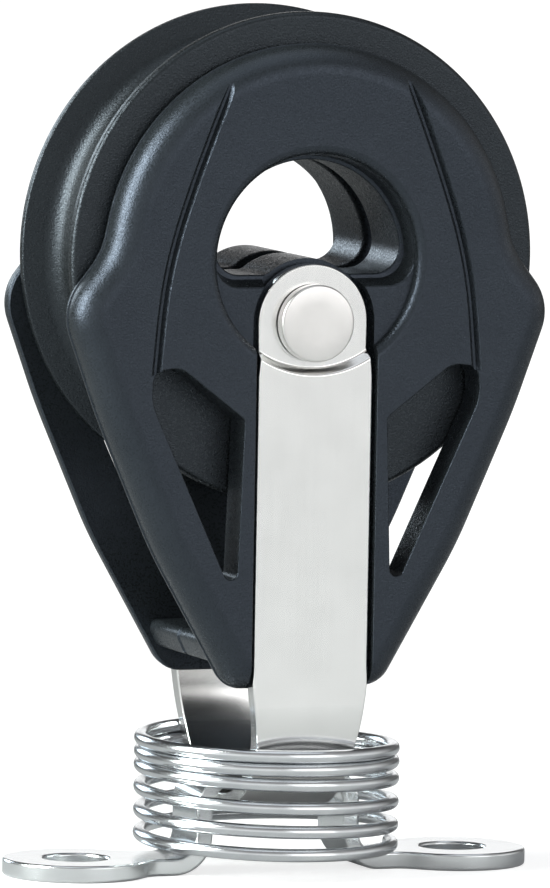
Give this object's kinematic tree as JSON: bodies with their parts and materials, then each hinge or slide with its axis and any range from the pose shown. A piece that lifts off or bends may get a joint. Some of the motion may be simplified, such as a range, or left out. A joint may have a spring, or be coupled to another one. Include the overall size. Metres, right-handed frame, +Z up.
{
  "type": "stand-up block",
  "caption": "Single sailing block with a free-running grooved sheave and an open hub, held upright over its deck eye by a coil spring.",
  "frame": {"origin": "on the deck, under the middle of the deck eye", "axes": "+Z up, X along the eye's two ears, Y along the sheave's axis with the front at -Y"},
  "size_m": [0.045, 0.0218, 0.0705],
  "materials": {
    "eye_steel": "satin polished stainless steel",
    "spring_steel": "bright drawn stainless wire",
    "strap_steel": "satin polished stainless steel",
    "rivet_steel": "tumbled stainless steel",
    "cheek_plastic": "fine grained moulded nylon, blue black",
    "sheave_plastic": "fine grained moulded acetal, charcoal",
    "ball_plastic": "smooth acetal balls"
  },
  "bodies": {
    "base": {"fixed_eye": "eye_steel", "spring": "spring_steel"},
    "block": {"strap": "strap_steel", "front_cheek": "cheek_plastic", "rear_cheek": "cheek_plastic", "head_rivet": "rivet_steel"},
    "sheave": {"sheave": "sheave_plastic"},
    "balls": {"ball_01": "ball_plastic", "ball_02": "ball_plastic", "ball_03": "ball_plastic", "ball_04": "ball_plastic", "ball_05": "ball_plastic", "ball_06": "ball_plastic", "ball_07": "ball_plastic", "ball_08": "ball_plastic", "ball_09": "ball_plastic", "ball_10": "ball_plastic", "ball_11": "ball_plastic", "ball_12": "ball_plastic", "ball_13": "ball_plastic", "ball_14": "ball_plastic", "ball_15": "ball_plastic", "ball_16": "ball_plastic", "ball_17": "ball_plastic", "ball_18": "ball_plastic"}
  },
  "joints": [
    {"name": "block_tilt", "type": "hinge", "parent": "base", "child": "block", "pos_m": [0, 0, 0.0144], "axis": [1, 0, 0], "range_deg": [-45, 45], "stiffness_Nm_per_rad": 0.02, "deforming": ["spring"]},
    {"name": "sheave_spin", "type": "hinge", "parent": "block", "child": "sheave", "pos_m": [0, 0, 0.0505], "axis": [0, 1, 0], "continuous": true},
    {"name": "ball_orbit", "type": "hinge", "parent": "block", "child": "balls", "pos_m": [0, 0, 0.0505], "axis": [0, 1, 0], "continuous": true}
  ],
  "couplings": [
    {"joint": "ball_orbit", "follows": "sheave_spin", "ratio": 0.5826}
  ]
}
